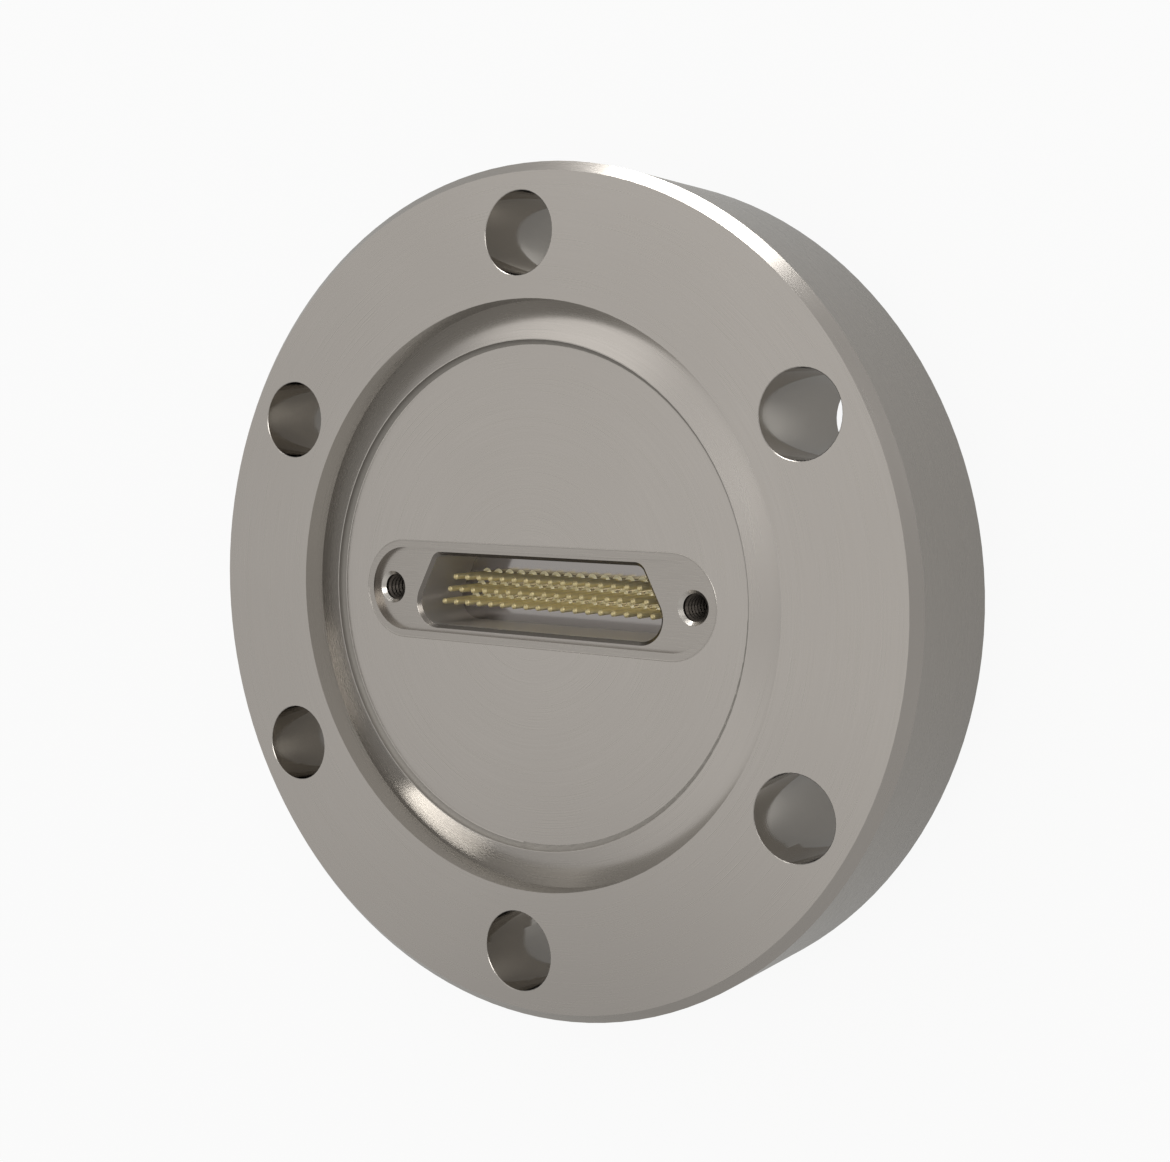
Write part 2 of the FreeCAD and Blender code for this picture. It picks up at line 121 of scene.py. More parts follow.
def dress(names, finish):
    """Gives CAD nodes one finish."""
    for name in names:
        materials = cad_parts[name].data.materials
        materials.clear()
        materials.append(finish)


print("a mid grey of #808080 is", round(tone("#808080")[0], 3), "in linear light")

# %% [markdown]
# ## The table
# The photograph has a white background without any edge. A wide pale table does the same, and it gives
# the metal something to reflect. Matt laminate in a pale grey photographs too dark for that, so most of
# what the camera sees is a plain white of strength 1, and the rest is the lit table, which keeps the
# shadow. Reflections get a smaller share of that white: enough to brighten the bolt holes from below, and
# so little that the rim still shows how the table darkens close to it.

# %% The table
TABLE_SIZE = 3.0
LAMINATE_ROUGHNESS = 0.6
WHITE_FOR_CAMERA = 0.92
WHITE_FOR_REFLECTIONS = 0.18


def make_table_finish():
    finish, tree, output = new_finish("pale grey laminate")
    laminate = add_node(
        tree, "ShaderNodeBsdfPrincipled",
        {"Base Color": tone("#ABABA9"), "Roughness": LAMINATE_ROUGHNESS},
    )
    white = add_node(tree, "ShaderNodeEmission", {"Color": tone("#FFFFFF"), "Strength": 1.0})
    path = add_node(tree, "ShaderNodeLightPath")
    reflected = add_node(
        tree, "ShaderNodeMath",
        {0: path.outputs["Is Glossy Ray"], 1: path.outputs["Is Transmission Ray"]}, operation="MAXIMUM",
    )
    reflected = add_node(
        tree, "ShaderNodeMath",
        {0: reflected.outputs[0], 1: WHITE_FOR_REFLECTIONS}, operation="MULTIPLY",
    )
    share = add_node(
        tree, "ShaderNodeMath",
        {0: path.outputs["Is Camera Ray"], 1: WHITE_FOR_CAMERA, 2: reflected.outputs[0]},
        operation="MULTIPLY_ADD",
    )
    mix = add_node(
        tree, "ShaderNodeMixShader",
        {0: share.outputs[0], 1: laminate.outputs[0], 2: white.outputs[0]},
    )
    tree.links.new(mix.outputs[0], output.inputs["Surface"])
    return finish


def make_table():
    sheet = bmesh.new()
    bmesh.ops.create_grid(sheet, x_segments=1, y_segments=1, size=TABLE_SIZE / 2)
    mesh = bpy.data.meshes.new("table")
    sheet.to_mesh(mesh)
    sheet.free()
    table = bpy.data.objects.new("table", mesh)
    bpy.context.collection.objects.link(table)
    mesh.materials.append(make_table_finish())


make_table()
print("the table is", TABLE_SIZE, "m across")

# %% [markdown]
# ## The sky
# Polished and satin metal show what is round them more than their own colour. The studio is a pale sky,
# so that the metal's faces come out at the colour that their finish names. The side where the camera
# stands is dimmer, as it is behind any camera, and that is what makes corners that reflect twice look
# deep. A smaller dark corner of the studio lies where the lower right of the flange's face mirrors it,
# and shades it softly. A picture of a real studio could be wrapped round the scene instead, but here
# each part of the sky is a number that can be read and changed.

# %% The sky
# its strength overhead and near the horizon, and a ray's Z at which it starts and ends to change
SKY_ABOVE = 1.12
SKY_LOW = 0.68
LOW_EDGE = 0.30
HIGH_EDGE = 0.92
# the share left behind the camera, and the cosine of the angle to there at that part's edge and core
CAMERA_DIM = 0.75
DIM_EDGE = 0.78
DIM_CORE = 0.95
# the direction of the studio's dark corner, and the same three values for it
DARK_CORNER = Vector((-0.51, -0.42, 0.75))
CORNER_DIM = 0.60
CORNER_EDGE = 0.974
CORNER_CORE = 0.997


def make_sky():
    world = bpy.data.worlds.new("studio sky")
    bpy.context.scene.world = world
    world.use_nodes = True
    tree = world.node_tree
    tree.nodes.clear()
    output = tree.nodes.new("ShaderNodeOutputWorld")
    direction = add_node(tree, "ShaderNodeTexCoord")
    behind = (CAMERA_PLACE - CAMERA_TARGET).normalized()
    near = add_node(
        tree, "ShaderNodeVectorMath",
        {0: direction.outputs["Generated"], 1: behind}, operation="DOT_PRODUCT",
    )
    dimmed = add_node(
        tree, "ShaderNodeMapRange",
        {"Value": near.outputs["Value"], "From Min": DIM_EDGE, "From Max": DIM_CORE,
         "To Min": 1.0, "To Max": CAMERA_DIM},
        interpolation_type="SMOOTHSTEP",
    )
    split = add_node(tree, "ShaderNodeSeparateXYZ", {0: direction.outputs["Generated"]})
    height = add_node(
        tree, "ShaderNodeMapRange",
        {"Value": split.outputs["Z"], "From Min": LOW_EDGE, "From Max": HIGH_EDGE,
         "To Min": SKY_LOW, "To Max": SKY_ABOVE},
        interpolation_type="SMOOTHSTEP",
    )
    strength = add_node(
        tree, "ShaderNodeMath",
        {0: dimmed.outputs["Result"], 1: height.outputs["Result"]}, operation="MULTIPLY",
    )
    aside = add_node(
        tree, "ShaderNodeVectorMath",
        {0: direction.outputs["Generated"], 1: DARK_CORNER.normalized()}, operation="DOT_PRODUCT",
    )
    corner = add_node(
        tree, "ShaderNodeMapRange",
        {"Value": aside.outputs["Value"], "From Min": CORNER_EDGE, "From Max": CORNER_CORE,
         "To Min": 1.0, "To Max": CORNER_DIM},
        interpolation_type="SMOOTHSTEP",
    )
    strength = add_node(
        tree, "ShaderNodeMath",
        {0: strength.outputs[0], 1: corner.outputs["Result"]}, operation="MULTIPLY",
    )
    sky = add_node(
        tree, "ShaderNodeBackground",
        {"Color": tone("#FFFFFF"), "Strength": strength.outputs[0]},
    )
    tree.links.new(sky.outputs[0], output.inputs["Surface"])


make_sky()
print("the sky's strength is", SKY_LOW, "near the horizon and", SKY_ABOVE, "overhead")

# %% [markdown]
# ## The lamps
# One long soft lamp stands at the far end of the table, low enough to run along chamfers and the knife
# edge's flank. A wide faint one hangs above it. A third hangs over the photographer's shoulder: flat
# metal never mirrors it into the lens, but it reaches almost everything that the camera sees in the deep
# cavity, and above all the pale glass. Metal mirrors the lamp itself, and a point or a spot would show
# there as a hard dot, so all three are area lamps.

# %% The lamps
# each lamp's place, width and height in metres, and its power in watts
LAMPS = {
    "far lamp": (Vector((-0.02, 0.62, 0.09)), 0.39, 0.17, 2.2),
    "high lamp": (Vector((-0.38, 0.46, 0.54)), 0.42, 0.42, 0.38),
    "near lamp": (Vector((0.272, 0.157, 0.403)), 0.24, 0.24, 0.8),
}


def hang_lamp(name, place, width, height, watts):
    """A soft rectangular lamp that faces the object."""
    light = bpy.data.lights.new(name, "AREA")
    light.shape = "RECTANGLE"
    light.size = width
    light.size_y = height
    light.energy = watts
    lamp = bpy.data.objects.new(name, light)
    lamp.matrix_world = Matrix.Translation(place) @ place.to_track_quat("Z", "Y").to_matrix().to_4x4()
    bpy.context.collection.objects.link(lamp)
    return lamp


lamps = [hang_lamp(name, *lamp) for name, lamp in LAMPS.items()]
print(len(lamps), "lamps of", [round(lamp.data.energy, 2) for lamp in lamps], "W")

# %% [markdown]
# ## Turning marks
# The flange is austenitic stainless steel, turned on a lathe. The tool leaves a groove at each turn, so
# the marks are rings on the faces and lines round the rim, and they stretch every reflection across them.
# An anisotropic shader could do that alone, but then the marks themselves wouldn't show. So a noise is
# squeezed across the feed and drawn out along it. It reads the distance from the axis on level surfaces
# and the height on upright ones. A real finishing feed is about 0.05 mm; it is drawn at 0.12 mm, or it
# would fall between the picture's dots.

# %% Turning marks
TURNING_FEED = 0.12 * MM
MARK_LENGTH = 9.0 * MM


def slope_of(tree, place):
    """The size of a normal's Z: 1 on level faces and 0 on upright ones."""
    facing = add_node(tree, "ShaderNodeSeparateXYZ", {0: place.outputs["Normal"]})
    facing = add_node(tree, "ShaderNodeMath", {0: facing.outputs["Z"]}, operation="ABSOLUTE")
    return facing.outputs[0]


def ring_marks(tree, place, level):
    """Marks in rings about the Z axis, and the distance from that axis."""
    split = add_node(tree, "ShaderNodeSeparateXYZ", {0: place.outputs["Object"]})
    flat = add_node(
        tree, "ShaderNodeVectorMath",
        {0: place.outputs["Object"], 1: (1, 1, 0)}, operation="MULTIPLY",
    )
    radius = add_node(tree, "ShaderNodeVectorMath", {0: flat.outputs[0]}, operation="LENGTH")
    across = add_node(
        tree, "ShaderNodeMix",
        {0: level, 2: split.outputs["Z"], 3: radius.outputs["Value"]},
    )
    feed = add_node(
        tree, "ShaderNodeMath",
        {0: across.outputs[0], 1: 1 / TURNING_FEED}, operation="MULTIPLY",
    )
    along = add_node(
        tree, "ShaderNodeVectorMath",
        {0: flat.outputs[0], "Scale": 1 / MARK_LENGTH}, operation="SCALE",
    )
    along = add_node(tree, "ShaderNodeSeparateXYZ", {0: along.outputs[0]})
    marks_at = add_node(
        tree, "ShaderNodeCombineXYZ",
        {"X": feed.outputs[0], "Y": along.outputs["X"], "Z": along.outputs["Y"]},
    )
    marks = add_node(
        tree, "ShaderNodeTexNoise",
        {"Vector": marks_at.outputs[0], "Scale": 1.0, "Detail": 2.0, "Roughness": 0.6},
    )
    return marks.outputs["Fac"], radius.outputs["Value"]


print("turning marks every", round(TURNING_FEED / MM, 3), "mm")

# %% [markdown]
# ## Bored walls and the cove
# The bored walls inside the rim are smoother than the faces, so they mirror each other, and their brighter
# colour is painted light that lifts the shade inside them. The small cove at the foot of the knife edge is
# left by the tool's nose and dull, and its darker colour is painted shade. Each could have a material of
# its own, but that means sorting the faces of the CAD mesh, which is left alone here. Where a point lies
# and which way it faces tell just as well what it belongs to.

# %% Bored walls and the cove
# the rim's own band, which isn't bored, and where the cove lies, as radii
RIM_BAND = 0.9 * MM
RIM_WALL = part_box("flange")[1].x - RIM_BAND
COVE_INNER = 20.3 * MM
COVE_OUTER = 21.0 * MM
# limits for the size of a normal's Z: walls lie under the first, and all but level faces under the second
WALL_LIMIT = 0.3
LEVEL_LIMIT = 0.98


def bored_walls(tree, radius, level):
    """1 on the upright walls inside the rim, and 0 elsewhere."""
    inside = add_node(tree, "ShaderNodeMath", {0: radius, 1: RIM_WALL}, operation="LESS_THAN")
    upright = add_node(tree, "ShaderNodeMath", {0: level, 1: WALL_LIMIT}, operation="LESS_THAN")
    bored = add_node(
        tree, "ShaderNodeMath",
        {0: inside.outputs[0], 1: upright.outputs[0]}, operation="MULTIPLY",
    )
    return bored.outputs[0]


def knife_cove(tree, radius, level):
    """1 on the cove at the foot of the knife edge, and 0 elsewhere."""
    ring = add_node(
        tree, "ShaderNodeMath",
        {0: radius, 1: (COVE_INNER + COVE_OUTER) / 2, 2: (COVE_OUTER - COVE_INNER) / 2},
        operation="COMPARE",
    )
    sloped = add_node(tree, "ShaderNodeMath", {0: level, 1: LEVEL_LIMIT}, operation="LESS_THAN")
    in_cove = add_node(
        tree, "ShaderNodeMath",
        {0: ring.outputs[0], 1: sloped.outputs[0]}, operation="MULTIPLY",
    )
    return in_cove.outputs[0]


print("walls within", round(RIM_WALL / MM, 1), "mm of the axis are bored")

# %% [markdown]
# ## Turned stainless steel
# The finish puts these together: satin faces with their marks, smoother bored walls, reamed bolt holes
# that are the brightest, both brightened by painted light, and the dull cove with its painted shade. One
# even colour would make the large faces look painted, so slow patches change it a little.

# %% Turned stainless steel
MARK_DEPTH = 0.0010 * MM
PATCH_SIZE = 16 * MM
# the radius beyond which walls belong to the bolt holes
HOLES_FROM = 25.0 * MM
COVE_ROUGHNESS = 0.75
# how far the marks change the roughness, up and down
TURNED_PLAY = 0.05


def turned_steel(
    name, colour, dark, bore, reamed, cove, roughness, bore_roughness, reamed_roughness,
):
    """Steel with ring marks about the Z axis, bored and reamed walls brightened by painted light, and a
    dull cove darkened by painted shade.
    """
    finish, tree, output = new_finish(name)
    place = add_node(tree, "ShaderNodeTexCoord")
    level = slope_of(tree, place)
    marks, radius = ring_marks(tree, place, level)
    bored = bored_walls(tree, radius, level)
    in_cove = knife_cove(tree, radius, level)
    patches = add_node(
        tree, "ShaderNodeTexNoise",
        {"Vector": place.outputs["Object"], "Scale": 1 / PATCH_SIZE, "Detail": 3.0, "Roughness": 0.5},
    )
    bump = add_node(
        tree, "ShaderNodeBump",
        {"Height": marks, "Strength": 1.0, "Distance": MARK_DEPTH},
    )
    worn = add_node(
        tree, "ShaderNodeMix",
        {0: patches.outputs["Fac"], 6: tone(colour), 7: tone(dark)}, data_type="RGBA",
    )
    streaked = add_node(
        tree, "ShaderNodeMix",
        {0: marks, 6: worn.outputs[2], 7: tone(dark)}, data_type="RGBA",
    )
    in_hole = add_node(tree, "ShaderNodeMath", {0: radius, 1: HOLES_FROM}, operation="GREATER_THAN")
    # the bored and reamed colours are brighter than the faces': painted light inside the holes
    wall = add_node(
        tree, "ShaderNodeMix",
        {0: in_hole.outputs[0], 6: tone(bore), 7: tone(reamed)}, data_type="RGBA",
    )
    wall_rough = add_node(
        tree, "ShaderNodeMix",
        {0: in_hole.outputs[0], 2: bore_roughness, 3: reamed_roughness},
    )
    shade = add_node(
        tree, "ShaderNodeMix",
        {0: bored, 6: streaked.outputs[2], 7: wall.outputs[2]}, data_type="RGBA",
    )
    # the cove's darker colour is painted shade
    shade = add_node(
        tree, "ShaderNodeMix",
        {0: in_cove, 6: shade.outputs[2], 7: tone(cove)}, data_type="RGBA",
    )
    satin = add_node(
        tree, "ShaderNodeMapRange",
        {"Value": marks, "To Min": roughness - TURNED_PLAY, "To Max": roughness + TURNED_PLAY},
    )
    rough = add_node(
        tree, "ShaderNodeMix",
        {0: bored, 2: satin.outputs["Result"], 3: wall_rough.outputs[0]},
    )
    rough = add_node(tree, "ShaderNodeMix", {0: in_cove, 2: rough.outputs[0], 3: COVE_ROUGHNESS})
    steel = add_node(
        tree, "ShaderNodeBsdfPrincipled",
        {"Base Color": shade.outputs[2], "Metallic": 1.0,
         "Roughness": rough.outputs[0], "Normal": bump.outputs[0]},
    )
    tree.links.new(steel.outputs[0], output.inputs["Surface"])
    return finish


# bore and reamed are painted light, brighter than the faces, and cove is painted shade
flange_steel = turned_steel(
    "turned stainless steel", colour="#A6A19B", dark="#9C9791", bore="#BCBAB6", reamed="#CAC5BE",
    cove="#8B8781", roughness=0.26, bore_roughness=0.10, reamed_roughness=0.08,
)
dress(["flange"], flange_steel)
print("the flange is dressed in", flange_steel.name)

# %% [markdown]
# ## The shell's cavities
# The connector shell is milled from the same steel. The floors of its two D-shaped cavities are polished,
# because the glass has to wet them, and their walls have the thin grey oxide of the furnace in which the
# glass was melted. A mask could be painted for them. Their place finds them as surely: between the screw
# holes and below the two faces.

# %% The shell's cavities
# the step from lip to face, the skin that counts as the face, and an X between the D and a screw hole
LIP_STEP = 0.55 * MM
BELOW_FACE = 0.01 * MM
CAVITY_REACH = 13.6 * MM


def in_cavities(tree, place):
    """1 inside the two cavities, and 0 elsewhere."""
    split = add_node(tree, "ShaderNodeSeparateXYZ", {0: place.outputs["Object"]})
    across = add_node(tree, "ShaderNodeMath", {0: split.outputs["X"]}, operation="ABSOLUTE")
    across = add_node(
        tree, "ShaderNodeMath",
        {0: across.outputs[0], 1: CAVITY_REACH}, operation="LESS_THAN",
    )
    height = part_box("connector_shell")[1].z
    middle = (height - LIP_STEP) / 2
    depth = add_node(tree, "ShaderNodeMath", {0: split.outputs["Z"], 1: middle}, operation="SUBTRACT")
    depth = add_node(tree, "ShaderNodeMath", {0: depth.outputs[0]}, operation="ABSOLUTE")
    below = add_node(
        tree, "ShaderNodeMath",
        {0: depth.outputs[0], 1: middle - BELOW_FACE}, operation="LESS_THAN",
    )
    inside = add_node(
        tree, "ShaderNodeMath",
        {0: across.outputs[0], 1: below.outputs[0]}, operation="MULTIPLY",
    )
    return inside.outputs[0]


print("the cavities lie within", round(CAVITY_REACH / MM, 1), "mm of the middle")

# %% [markdown]
# ## Machined stainless steel
# The shell's outer faces have the fine marks of a small end mill, long in X, the direction of the cut.
# Unlike the flange's rings they run straight, so a Mapping node stretches a noise into them. The oxide on
# the cavities' walls scatters some light, so they are only partly metallic. The broken edges are the
# faces that slope at 45 degrees. They are a little smoother, because a fine stone breaks them. At the
# mouth of the D their darker colour is painted shade, which draws a dark line. The countersinks of the
# tapped holes have a brighter colour: painted light that lifts their shade and brightens their glints.

# %% Machined stainless steel
CUT_WIDTH = 0.10 * MM
CUT_LENGTH = 2.5 * MM
CUT_DEPTH = 0.0004 * MM
WALL_METALLIC = 0.60
# the size of a normal's Z on a face at 45 degrees, with some play
EDGE_SLOPE = 0.7
EDGE_SLOPE_PLAY = 0.1
EDGE_ROUGHNESS = 0.24
MILLED_PLAY = 0.04


def milled_steel(
    name, colour, dark, floor, wall, mouth_painted_shade, countersink_painted_light, roughness, floor_roughness, wall_roughness,
):
    """Steel with fine cutting marks along X, and cavities with a polished floor and oxidised walls."""
    finish, tree, output = new_finish(name)
    place = add_node(tree, "ShaderNodeTexCoord")
    stretched = add_node(
        tree, "ShaderNodeMapping",
        {"Vector": place.outputs["Object"], "Scale": (1 / CUT_LENGTH, 1 / CUT_WIDTH, 1 / CUT_WIDTH)},
    )
    marks = add_node(
        tree, "ShaderNodeTexNoise",
        {"Vector": stretched.outputs[0], "Scale": 1.0, "Detail": 2.0, "Roughness": 0.55},
    )
    bump = add_node(
        tree, "ShaderNodeBump",
        {"Height": marks.outputs["Fac"], "Strength": 1.0, "Distance": CUT_DEPTH},
    )
    inside = in_cavities(tree, place)
    cut = add_node(
        tree, "ShaderNodeMix",
        {0: marks.outputs["Fac"], 6: tone(colour), 7: tone(dark)}, data_type="RGBA",
    )
    facing = slope_of(tree, place)
    upright = add_node(tree, "ShaderNodeMath", {0: facing, 1: WALL_LIMIT}, operation="LESS_THAN")
    broken_edge = add_node(
        tree, "ShaderNodeMath",
        {0: facing, 1: EDGE_SLOPE, 2: EDGE_SLOPE_PLAY}, operation="COMPARE",
    )
    cavity = add_node(
        tree, "ShaderNodeMix",
        {0: upright.outputs[0], 6: tone(floor), 7: tone(wall)}, data_type="RGBA",
    )
    shade = add_node(
        tree, "ShaderNodeMix",
        {0: inside, 6: cut.outputs[2], 7: cavity.outputs[2]}, data_type="RGBA",
    )
    # broken edges take painted light in the countersinks and painted shade at the mouth of the D
    edge = add_node(
        tree, "ShaderNodeMix",
        {0: inside, 6: tone(countersink_painted_light), 7: tone(mouth_painted_shade)}, data_type="RGBA",
    )
    shade = add_node(
        tree, "ShaderNodeMix",
        {0: broken_edge.outputs[0], 6: shade.outputs[2], 7: edge.outputs[2]}, data_type="RGBA",
    )
    satin = add_node(
        tree, "ShaderNodeMapRange",
        {"Value": marks.outputs["Fac"],
         "To Min": roughness - MILLED_PLAY, "To Max": roughness + MILLED_PLAY},
    )
    cavity_rough = add_node(
        tree, "ShaderNodeMix",
        {0: upright.outputs[0], 2: floor_roughness, 3: wall_roughness},
    )
    rough = add_node(
        tree, "ShaderNodeMix",
        {0: inside, 2: satin.outputs["Result"], 3: cavity_rough.outputs[0]},
    )
    rough = add_node(
        tree, "ShaderNodeMix",
        {0: broken_edge.outputs[0], 2: rough.outputs[0], 3: EDGE_ROUGHNESS},
    )
    oxidised = add_node(
        tree, "ShaderNodeMath",
        {0: inside, 1: upright.outputs[0]}, operation="MULTIPLY",
    )
    metallic = add_node(tree, "ShaderNodeMix", {0: oxidised.outputs[0], 2: 1.0, 3: WALL_METALLIC})
    steel = add_node(
        tree, "ShaderNodeBsdfPrincipled",
        {"Base Color": shade.outputs[2], "Metallic": metallic.outputs[0],
         "Roughness": rough.outputs[0], "Normal": bump.outputs[0]},
    )
    tree.links.new(steel.outputs[0], output.inputs["Surface"])
    return finish


# the mouth colour is painted shade at the D's edges, the countersink colour painted light in the screw
# holes
shell_steel = milled_steel(
    "machined stainless steel", colour="#98938D", dark="#918C86", floor="#8A8683", wall="#A39E98",
    mouth_painted_shade="#6C6761", countersink_painted_light="#B4AFA8",
    roughness=0.28, floor_roughness=0.10, wall_roughness=0.30,
)
dress(["connector_shell"], shell_steel)
print("milling marks", round(CUT_WIDTH / MM, 2), "mm wide and", round(CUT_LENGTH / MM, 1), "mm long")

# %% [markdown]
# ## Gold plating
# Each contact is drawn nickel-iron wire with a thin gold plating. Drawing leaves fine lines along the
# wire, and the plating smooths them a little. Such a thin hard gold is paler and greener than jewellery,
# and its fine grain scatters some light, so it isn't quite fully metallic. The cut ends are rougher, and
# their darker colour is painted shade that dims their highlight. They could be pieces of their own, but it
# is simpler to find them by the direction they face.

# %% Gold plating
WIRE_LINE = 0.04 * MM
WIRE_LINE_LENGTH = 1.6 * MM
LINE_DEPTH = 0.001 * MM
PLATING_METALLIC = 0.8
PLATING_PLAY = 0.05
CUT_END_LIMIT = 0.5


def gold_plating(name, colour, thin, cut, roughness, cut_roughness):
    """Hard gold over drawn wire, with fine lines along Z and rougher cut ends darkened by painted shade."""
    finish, tree, output = new_finish(name)
    place = add_node(tree, "ShaderNodeTexCoord")
    stretched = add_node(
        tree, "ShaderNodeMapping",
        {"Vector": place.outputs["Object"], "Scale": (1 / WIRE_LINE, 1 / WIRE_LINE, 1 / WIRE_LINE_LENGTH)},
    )
    lines = add_node(
        tree, "ShaderNodeTexNoise",
        {"Vector": stretched.outputs[0], "Scale": 1.0, "Detail": 1.0, "Roughness": 0.5},
    )
    shade = add_node(
        tree, "ShaderNodeMix",
        {0: lines.outputs["Fac"], 6: tone(colour), 7: tone(thin)}, data_type="RGBA",
    )
    cut_end = add_node(
        tree, "ShaderNodeMath",
        {0: slope_of(tree, place), 1: CUT_END_LIMIT}, operation="GREATER_THAN",
    )
    # the cut ends' darker colour is painted shade that dims their highlight
    shade = add_node(
        tree, "ShaderNodeMix",
        {0: cut_end.outputs[0], 6: shade.outputs[2], 7: tone(cut)}, data_type="RGBA",
    )
    rough = add_node(
        tree, "ShaderNodeMapRange",
        {"Value": lines.outputs["Fac"],
         "To Min": roughness - PLATING_PLAY, "To Max": roughness + PLATING_PLAY},
    )
    rough = add_node(
        tree, "ShaderNodeMix",
        {0: cut_end.outputs[0], 2: rough.outputs["Result"], 3: cut_roughness},
    )
    bump = add_node(
        tree, "ShaderNodeBump",
        {"Height": lines.outputs["Fac"], "Strength": 1.0, "Distance": LINE_DEPTH},
    )
    gold = add_node(
        tree, "ShaderNodeBsdfPrincipled",
        {"Base Color": shade.outputs[2], "Metallic": PLATING_METALLIC,
         "Roughness": rough.outputs[0], "Normal": bump.outputs[0]},
    )
    tree.links.new(gold.outputs[0], output.inputs["Surface"])
    return finish


contacts = sorted(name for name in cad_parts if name.startswith("contact_"))
# the cut colour is darker for the ends: painted shade
contact_gold = gold_plating(
    "gold-plated wire", colour="#FDF3CC", thin="#F3E6B6", cut="#B5A87F", roughness=0.32, cut_roughness=0.50,
)
dress(contacts, contact_gold)
print(len(contacts), "contacts are plated")

# %% [markdown]
# ## Sealing glass
# A bead of pale glass is fused between each contact and the floor. Molten glass pulls itself smooth, so
# it is glossier than the metal. It could be given transmission, as clear glass is, but this kind is full
# of small crystals that let no light through. So it is an opaque glossy surface, with a faint cloudiness
# from the crystals.

# %% Sealing glass
CRYSTAL_SIZE = 0.12 * MM
CRYSTAL_HEIGHT = 0.003 * MM
GLASS_IOR = 1.52
CLEAR_ROUGHNESS = 0.08
CLOUDY_ROUGHNESS = 0.22


def sealing_glass(name, colour, cloudy):
    """Opaque glass, smooth from melting, with a faint cloud of crystals."""
    finish, tree, output = new_finish(name)
    place = add_node(tree, "ShaderNodeTexCoord")
    crystals = add_node(
        tree, "ShaderNodeTexNoise",
        {"Vector": place.outputs["Object"], "Scale": 1 / CRYSTAL_SIZE, "Detail": 3.0, "Roughness": 0.6},
    )
    shade = add_node(
        tree, "ShaderNodeMix",
        {0: crystals.outputs["Fac"], 6: tone(colour), 7: tone(cloudy)}, data_type="RGBA",
    )
    rough = add_node(
        tree, "ShaderNodeMapRange",
        {"Value": crystals.outputs["Fac"], "To Min": CLEAR_ROUGHNESS, "To Max": CLOUDY_ROUGHNESS},
    )
    bump = add_node(
        tree, "ShaderNodeBump",
        {"Height": crystals.outputs["Fac"], "Strength": 1.0, "Distance": CRYSTAL_HEIGHT},
    )
    glass = add_node(
        tree, "ShaderNodeBsdfPrincipled",
        {"Base Color": shade.outputs[2], "IOR": GLASS_IOR,
         "Roughness": rough.outputs["Result"], "Normal": bump.outputs[0]},
    )
    tree.links.new(glass.outputs[0], output.inputs["Surface"])
    return finish


seals = sorted(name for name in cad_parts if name.startswith("seals_row_"))
dress(seals, sealing_glass("sealing glass", colour="#FFF8D8", cloudy="#F6ECC4"))
print(len(seals), "rows of glass beads")

# %% [markdown]
# ## The weld
# A thin bead of weld closes the joint between the shell's lip and the flange. Its line is an oblong: two
# half circles and two straight runs. It could be a curve with a round bevel, but then every point of the
# line has to be worked out. Here a small ring goes the way that the welder's torch goes. It is spun half
# way round one end, pushed along the straight run, spun round the other end and pushed back to its start,
# where its corners are merged with the first ones. The bead lies mostly below the surface, so that only
# a flat crown shows.

# %% The weld
BEAD_RADIUS = 0.08 * MM
BEAD_PROUD = 0.02 * MM
BEAD_SIDES = 10
STEPS_PER_END = 48
# corners closer than this are one corner
MERGE_REACH = 0.001 * MM


def push_ring(bead, ring, reach):
    """Extrudes the open end of a tube by reach, and returns its new end."""
    edges = [part for part in ring if isinstance(part, bmesh.types.BMEdge)]
    pushed = bmesh.ops.extrude_edge_only(bead, edges=edges)["geom"]
    corners = [part for part in pushed if isinstance(part, bmesh.types.BMVert)]
    bmesh.ops.translate(bead, verts=corners, vec=reach)
    return [part for part in pushed if not isinstance(part, bmesh.types.BMFace)]


def make_weld():
    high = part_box("connector_shell")[1]
    middle = high.x - high.y
    level = high.z + BEAD_PROUD - BEAD_RADIUS
    bead = bmesh.new()
    start = Matrix.Translation((middle, -high.y, level)) @ Matrix.Rotation(math.pi / 2, 4, "Y")
    bmesh.ops.create_circle(bead, segments=BEAD_SIDES, radius=BEAD_RADIUS, matrix=start)
    ring = [*bead.verts, *bead.edges]
    for side in (1, -1):
        ring = bmesh.ops.spin(
            bead, geom=ring, cent=(side * middle, 0, level), axis=(0, 0, 1),
            angle=math.pi, steps=STEPS_PER_END, use_duplicate=False, use_merge=False,
        )["geom_last"]
        ring = push_ring(bead, ring, (-2 * side * middle, 0, 0))
    bmesh.ops.remove_doubles(bead, verts=bead.verts, dist=MERGE_REACH)
    bmesh.ops.recalc_face_normals(bead, faces=bead.faces)
    mesh = bpy.data.meshes.new("weld_bead")
    bead.to_mesh(mesh)
    bead.free()
    mesh.shade_smooth()
    mesh.materials.append(shell_steel)
    weld = bpy.data.objects.new("weld_bead", mesh)
    bpy.context.collection.objects.link(weld)
    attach(weld, "root")
    return weld


weld = make_weld()
print("the weld bead has", len(weld.data.polygons), "faces")

# %% [markdown]
# ## Tapped steel
# The plug is drawn home by two small screws, in holes tapped with a fine thread. A tap tears the steel a
# little. The thread's dark colour is painted shade, the shade deep inside the narrow holes. The oil
# could be a film of its own, but at this size only its dark colour shows, so it is mixed into the
# steel's.

# %% Tapped steel
TEAR_SIZE = 0.15 * MM
TEAR_DEPTH = 0.01 * MM
TAPPED_ROUGHNESS = 0.5


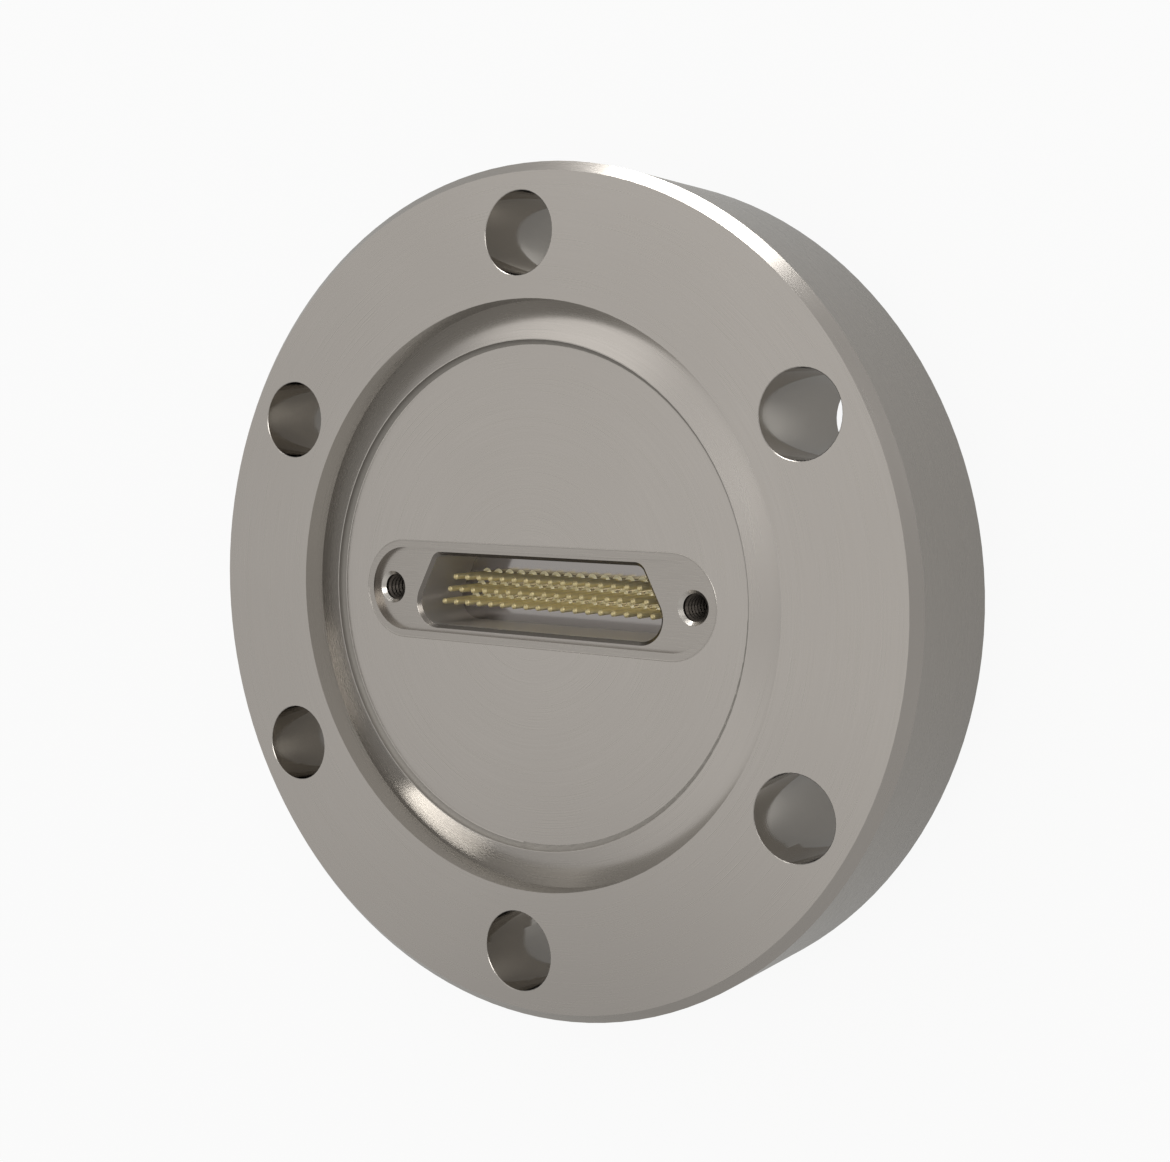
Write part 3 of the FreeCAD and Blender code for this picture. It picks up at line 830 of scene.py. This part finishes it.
def tapped_steel(name, colour, dark):
    """Steel torn a little by a tap, and darkened by painted shade."""
    finish, tree, output = new_finish(name)
    place = add_node(tree, "ShaderNodeTexCoord")
    tears = add_node(
        tree, "ShaderNodeTexNoise",
        {"Vector": place.outputs["Object"], "Scale": 1 / TEAR_SIZE, "Detail": 3.0, "Roughness": 0.6},
    )
    shade = add_node(
        tree, "ShaderNodeMix",
        {0: tears.outputs["Fac"], 6: tone(colour), 7: tone(dark)}, data_type="RGBA",
    )
    bump = add_node(
        tree, "ShaderNodeBump",
        {"Height": tears.outputs["Fac"], "Strength": 1.0, "Distance": TEAR_DEPTH},
    )
    steel = add_node(
        tree, "ShaderNodeBsdfPrincipled",
        {"Base Color": shade.outputs[2], "Metallic": 1.0,
         "Roughness": TAPPED_ROUGHNESS, "Normal": bump.outputs[0]},
    )
    tree.links.new(steel.outputs[0], output.inputs["Surface"])
    return finish


# both thread colours are dark: painted shade deep inside the holes
thread_steel_painted_shade = tapped_steel("tapped stainless steel", colour="#4C4743", dark="#39352F")
print("tears in the thread are", round(TEAR_SIZE / MM, 2), "mm wide")

# %% [markdown]
# ## Threads of the jack-screw holes
# A thread is one ridge that climbs round the wall. A bump could draw it, but in raking light such a ridge
# looks flat. So its cross-section is made once, as a small four-sided face with its foot a little inside
# the wall, and spun about the hole's axis while it climbs. Spinning a lone face leaves the first and last
# one in place, so the ends are closed. All four threads are right-handed, whichever way they point.

# %% Threads of the jack-screw holes
THREAD_PITCH = 0.4536 * MM
THREAD_TURNS = 9
STEPS_PER_TURN = 20
THREAD_FOOT = 1.12 * MM
THREAD_CREST = 0.93 * MM
FOOT_WIDTH = 0.40 * MM
CREST_WIDTH = 0.10 * MM
SCREW_PLACE = 15.43 * MM
THREAD_STARTS = (0.55 * MM, 9.35 * MM)


def add_thread(ridge, across, start):
    """Adds one climbing ridge, from the height start, round the axis at across."""
    axis_place = Vector((across, 0, start))
    corners = (
        (THREAD_FOOT, -FOOT_WIDTH / 2), (THREAD_CREST, -CREST_WIDTH / 2),
        (THREAD_CREST, CREST_WIDTH / 2), (THREAD_FOOT, FOOT_WIDTH / 2),
    )
    section = [ridge.verts.new(axis_place + Vector((radius, 0, up))) for radius, up in corners]
    face = ridge.faces.new(section)
    steps = THREAD_TURNS * STEPS_PER_TURN
    bmesh.ops.spin(
        ridge, geom=[face, *face.edges, *face.verts], cent=axis_place, axis=(0, 0, 1),
        dvec=(0, 0, THREAD_PITCH / STEPS_PER_TURN), angle=THREAD_TURNS * math.tau,
        steps=steps, use_duplicate=False, use_merge=False,
    )


def make_threads():
    ridge = bmesh.new()
    for across in (-SCREW_PLACE, SCREW_PLACE):
        for start in THREAD_STARTS:
            add_thread(ridge, across, start)
    bmesh.ops.recalc_face_normals(ridge, faces=ridge.faces)
    mesh = bpy.data.meshes.new("jack_screw_threads")
    ridge.to_mesh(mesh)
    ridge.free()
    threads = bpy.data.objects.new("jack_screw_threads", mesh)
    bpy.context.collection.objects.link(threads)
    mesh.materials.append(thread_steel_painted_shade)
    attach(threads, "root")
    return threads


threads = make_threads()
print("the four threads have", len(threads.data.polygons), "faces")
